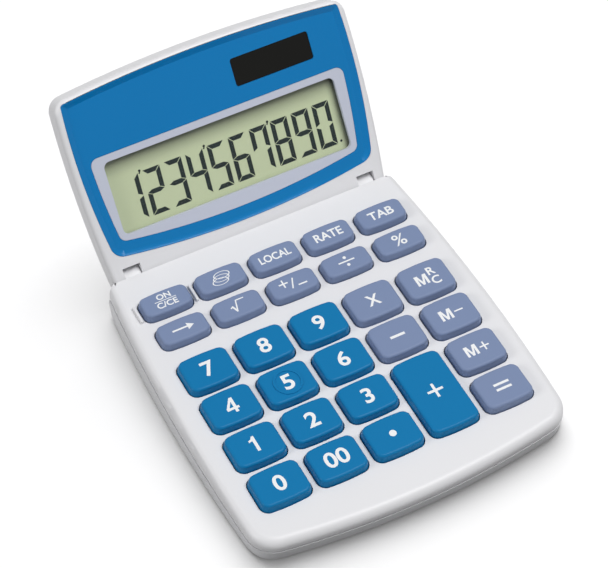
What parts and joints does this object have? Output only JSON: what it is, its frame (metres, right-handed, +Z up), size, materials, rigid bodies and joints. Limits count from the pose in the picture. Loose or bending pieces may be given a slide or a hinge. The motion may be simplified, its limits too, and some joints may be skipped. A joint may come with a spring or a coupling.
{
  "type": "desk calculator",
  "caption": "Desk calculator with a wedge base, raised keys that press down, and a display head with solar cell that tilts on a hinge at the rear.",
  "frame": {"origin": "middle of the bounding box on the floor, under the feet", "axes": "+X to the user's right, +Y away from the user, +Z up"},
  "size_m": [0.1088, 0.1524, 0.0668],
  "materials": {
    "white_shell_plastic": "fine satin grain",
    "blue_key_plastic": "smooth satin",
    "grey_key_plastic": "smooth satin",
    "blue_bezel_plastic": "smooth satin",
    "grey_surround_plastic": "satin",
    "clear_window": "clear and polished",
    "lcd_glass": "matte polariser over glass",
    "solar_glass": "dark cell under glass",
    "foot_rubber": "dull",
    "mat_rubber": "dull",
    "circuit_board": "solder mask on laminate",
    "black_resin": "dull cast resin",
    "steel": "bright plated",
    "contact_brass": "sprung strip",
    "ribbon_film": "flexible film"
  },
  "bodies": {
    "base": {"base_top_cover": "white_shell_plastic", "base_bottom_cover": "white_shell_plastic", "battery_door": "white_shell_plastic", "front_feet": "foot_rubber", "rear_feet": "foot_rubber", "keypad_mat": "mat_rubber", "main_circuit_board": "circuit_board", "controller_cover": "black_resin", "case_screws": "steel", "battery_door_screw": "steel", "battery_cell": "steel", "battery_contact_end": "contact_brass", "battery_contact_side": "contact_brass", "display_ribbon_cable": "ribbon_film"},
    "display_head": {"head_front_shell": "white_shell_plastic", "head_rear_shell": "white_shell_plastic", "display_bezel": "blue_bezel_plastic", "lcd_surround": "grey_surround_plastic", "display_window": "clear_window", "lcd_panel": "lcd_glass", "lcd_connector_strip": "mat_rubber", "display_circuit_board": "circuit_board", "solar_cell": "solar_glass", "hinge_pin_left": "steel", "hinge_pin_right": "steel", "head_screws": "steel"},
    "key_on_clear": {"key_on_clear": "grey_key_plastic"},
    "key_money": {"key_money": "grey_key_plastic"},
    "key_local": {"key_local": "grey_key_plastic"},
    "key_rate": {"key_rate": "grey_key_plastic"},
    "key_tab": {"key_tab": "grey_key_plastic"},
    "key_shift": {"key_shift": "grey_key_plastic"},
    "key_root": {"key_root": "grey_key_plastic"},
    "key_sign": {"key_sign": "grey_key_plastic"},
    "key_divide": {"key_divide": "grey_key_plastic"},
    "key_percent": {"key_percent": "grey_key_plastic"},
    "key_7": {"key_7": "blue_key_plastic"},
    "key_8": {"key_8": "blue_key_plastic"},
    "key_9": {"key_9": "blue_key_plastic"},
    "key_multiply": {"key_multiply": "grey_key_plastic"},
    "key_memory_recall": {"key_memory_recall": "grey_key_plastic"},
    "key_4": {"key_4": "blue_key_plastic"},
    "key_5": {"key_5": "blue_key_plastic"},
    "key_6": {"key_6": "blue_key_plastic"},
    "key_minus": {"key_minus": "grey_key_plastic"},
    "key_memory_minus": {"key_memory_minus": "grey_key_plastic"},
    "key_1": {"key_1": "blue_key_plastic"},
    "key_2": {"key_2": "blue_key_plastic"},
    "key_3": {"key_3": "blue_key_plastic"},
    "key_memory_plus": {"key_memory_plus": "grey_key_plastic"},
    "key_0": {"key_0": "blue_key_plastic"},
    "key_00": {"key_00": "blue_key_plastic"},
    "key_point": {"key_point": "blue_key_plastic"},
    "key_equals": {"key_equals": "grey_key_plastic"},
    "key_plus": {"key_plus": "blue_key_plastic"}
  },
  "joints": [
    {"name": "display_tilt", "type": "hinge", "parent": "base", "child": "display_head", "pos_m": [0, 0.0374, 0.01075], "axis": [1, 0, 0], "range_deg": [-52.7, 2.3], "deforming": ["display_ribbon_cable"]},
    {"name": "key_on_clear_press", "type": "slide", "parent": "base", "child": "key_on_clear", "axis": [0, 0.061, -0.9981], "range_m": [0, 0.0012], "stiffness_N_per_m": 400, "deforming": ["keypad_mat"]},
    {"name": "key_money_press", "type": "slide", "parent": "base", "child": "key_money", "axis": [0, 0.061, -0.9981], "range_m": [0, 0.0012], "stiffness_N_per_m": 400, "deforming": ["keypad_mat"]},
    {"name": "key_local_press", "type": "slide", "parent": "base", "child": "key_local", "axis": [0, 0.061, -0.9981], "range_m": [0, 0.0012], "stiffness_N_per_m": 400, "deforming": ["keypad_mat"]},
    {"name": "key_rate_press", "type": "slide", "parent": "base", "child": "key_rate", "axis": [0, 0.061, -0.9981], "range_m": [0, 0.0012], "stiffness_N_per_m": 400, "deforming": ["keypad_mat"]},
    {"name": "key_tab_press", "type": "slide", "parent": "base", "child": "key_tab", "axis": [0, 0.061, -0.9981], "range_m": [0, 0.0012], "stiffness_N_per_m": 400, "deforming": ["keypad_mat"]},
    {"name": "key_shift_press", "type": "slide", "parent": "base", "child": "key_shift", "axis": [0, 0.061, -0.9981], "range_m": [0, 0.0012], "stiffness_N_per_m": 400, "deforming": ["keypad_mat"]},
    {"name": "key_root_press", "type": "slide", "parent": "base", "child": "key_root", "axis": [0, 0.061, -0.9981], "range_m": [0, 0.0012], "stiffness_N_per_m": 400, "deforming": ["keypad_mat"]},
    {"name": "key_sign_press", "type": "slide", "parent": "base", "child": "key_sign", "axis": [0, 0.061, -0.9981], "range_m": [0, 0.0012], "stiffness_N_per_m": 400, "deforming": ["keypad_mat"]},
    {"name": "key_divide_press", "type": "slide", "parent": "base", "child": "key_divide", "axis": [0, 0.061, -0.9981], "range_m": [0, 0.0012], "stiffness_N_per_m": 400, "deforming": ["keypad_mat"]},
    {"name": "key_percent_press", "type": "slide", "parent": "base", "child": "key_percent", "axis": [0, 0.061, -0.9981], "range_m": [0, 0.0012], "stiffness_N_per_m": 400, "deforming": ["keypad_mat"]},
    {"name": "key_7_press", "type": "slide", "parent": "base", "child": "key_7", "axis": [0, 0.061, -0.9981], "range_m": [0, 0.0012], "stiffness_N_per_m": 400, "deforming": ["keypad_mat"]},
    {"name": "key_8_press", "type": "slide", "parent": "base", "child": "key_8", "axis": [0, 0.061, -0.9981], "range_m": [0, 0.0012], "stiffness_N_per_m": 400, "deforming": ["keypad_mat"]},
    {"name": "key_9_press", "type": "slide", "parent": "base", "child": "key_9", "axis": [0, 0.061, -0.9981], "range_m": [0, 0.0012], "stiffness_N_per_m": 400, "deforming": ["keypad_mat"]},
    {"name": "key_multiply_press", "type": "slide", "parent": "base", "child": "key_multiply", "axis": [0, 0.061, -0.9981], "range_m": [0, 0.0012], "stiffness_N_per_m": 400, "deforming": ["keypad_mat"]},
    {"name": "key_memory_recall_press", "type": "slide", "parent": "base", "child": "key_memory_recall", "axis": [0, 0.061, -0.9981], "range_m": [0, 0.0012], "stiffness_N_per_m": 400, "deforming": ["keypad_mat"]},
    {"name": "key_4_press", "type": "slide", "parent": "base", "child": "key_4", "axis": [0, 0.061, -0.9981], "range_m": [0, 0.0012], "stiffness_N_per_m": 400, "deforming": ["keypad_mat"]},
    {"name": "key_5_press", "type": "slide", "parent": "base", "child": "key_5", "axis": [0, 0.061, -0.9981], "range_m": [0, 0.0012], "stiffness_N_per_m": 400, "deforming": ["keypad_mat"]},
    {"name": "key_6_press", "type": "slide", "parent": "base", "child": "key_6", "axis": [0, 0.061, -0.9981], "range_m": [0, 0.0012], "stiffness_N_per_m": 400, "deforming": ["keypad_mat"]},
    {"name": "key_minus_press", "type": "slide", "parent": "base", "child": "key_minus", "axis": [0, 0.061, -0.9981], "range_m": [0, 0.0012], "stiffness_N_per_m": 400, "deforming": ["keypad_mat"]},
    {"name": "key_memory_minus_press", "type": "slide", "parent": "base", "child": "key_memory_minus", "axis": [0, 0.061, -0.9981], "range_m": [0, 0.0012], "stiffness_N_per_m": 400, "deforming": ["keypad_mat"]},
    {"name": "key_1_press", "type": "slide", "parent": "base", "child": "key_1", "axis": [0, 0.061, -0.9981], "range_m": [0, 0.0012], "stiffness_N_per_m": 400, "deforming": ["keypad_mat"]},
    {"name": "key_2_press", "type": "slide", "parent": "base", "child": "key_2", "axis": [0, 0.061, -0.9981], "range_m": [0, 0.0012], "stiffness_N_per_m": 400, "deforming": ["keypad_mat"]},
    {"name": "key_3_press", "type": "slide", "parent": "base", "child": "key_3", "axis": [0, 0.061, -0.9981], "range_m": [0, 0.0012], "stiffness_N_per_m": 400, "deforming": ["keypad_mat"]},
    {"name": "key_memory_plus_press", "type": "slide", "parent": "base", "child": "key_memory_plus", "axis": [0, 0.061, -0.9981], "range_m": [0, 0.0012], "stiffness_N_per_m": 400, "deforming": ["keypad_mat"]},
    {"name": "key_0_press", "type": "slide", "parent": "base", "child": "key_0", "axis": [0, 0.061, -0.9981], "range_m": [0, 0.0012], "stiffness_N_per_m": 400, "deforming": ["keypad_mat"]},
    {"name": "key_00_press", "type": "slide", "parent": "base", "child": "key_00", "axis": [0, 0.061, -0.9981], "range_m": [0, 0.0012], "stiffness_N_per_m": 400, "deforming": ["keypad_mat"]},
    {"name": "key_point_press", "type": "slide", "parent": "base", "child": "key_point", "axis": [0, 0.061, -0.9981], "range_m": [0, 0.0012], "stiffness_N_per_m": 400, "deforming": ["keypad_mat"]},
    {"name": "key_equals_press", "type": "slide", "parent": "base", "child": "key_equals", "axis": [0, 0.061, -0.9981], "range_m": [0, 0.0012], "stiffness_N_per_m": 400, "deforming": ["keypad_mat"]},
    {"name": "key_plus_press", "type": "slide", "parent": "base", "child": "key_plus", "axis": [0, 0.061, -0.9981], "range_m": [0, 0.0012], "stiffness_N_per_m": 400, "deforming": ["keypad_mat"]}
  ]
}
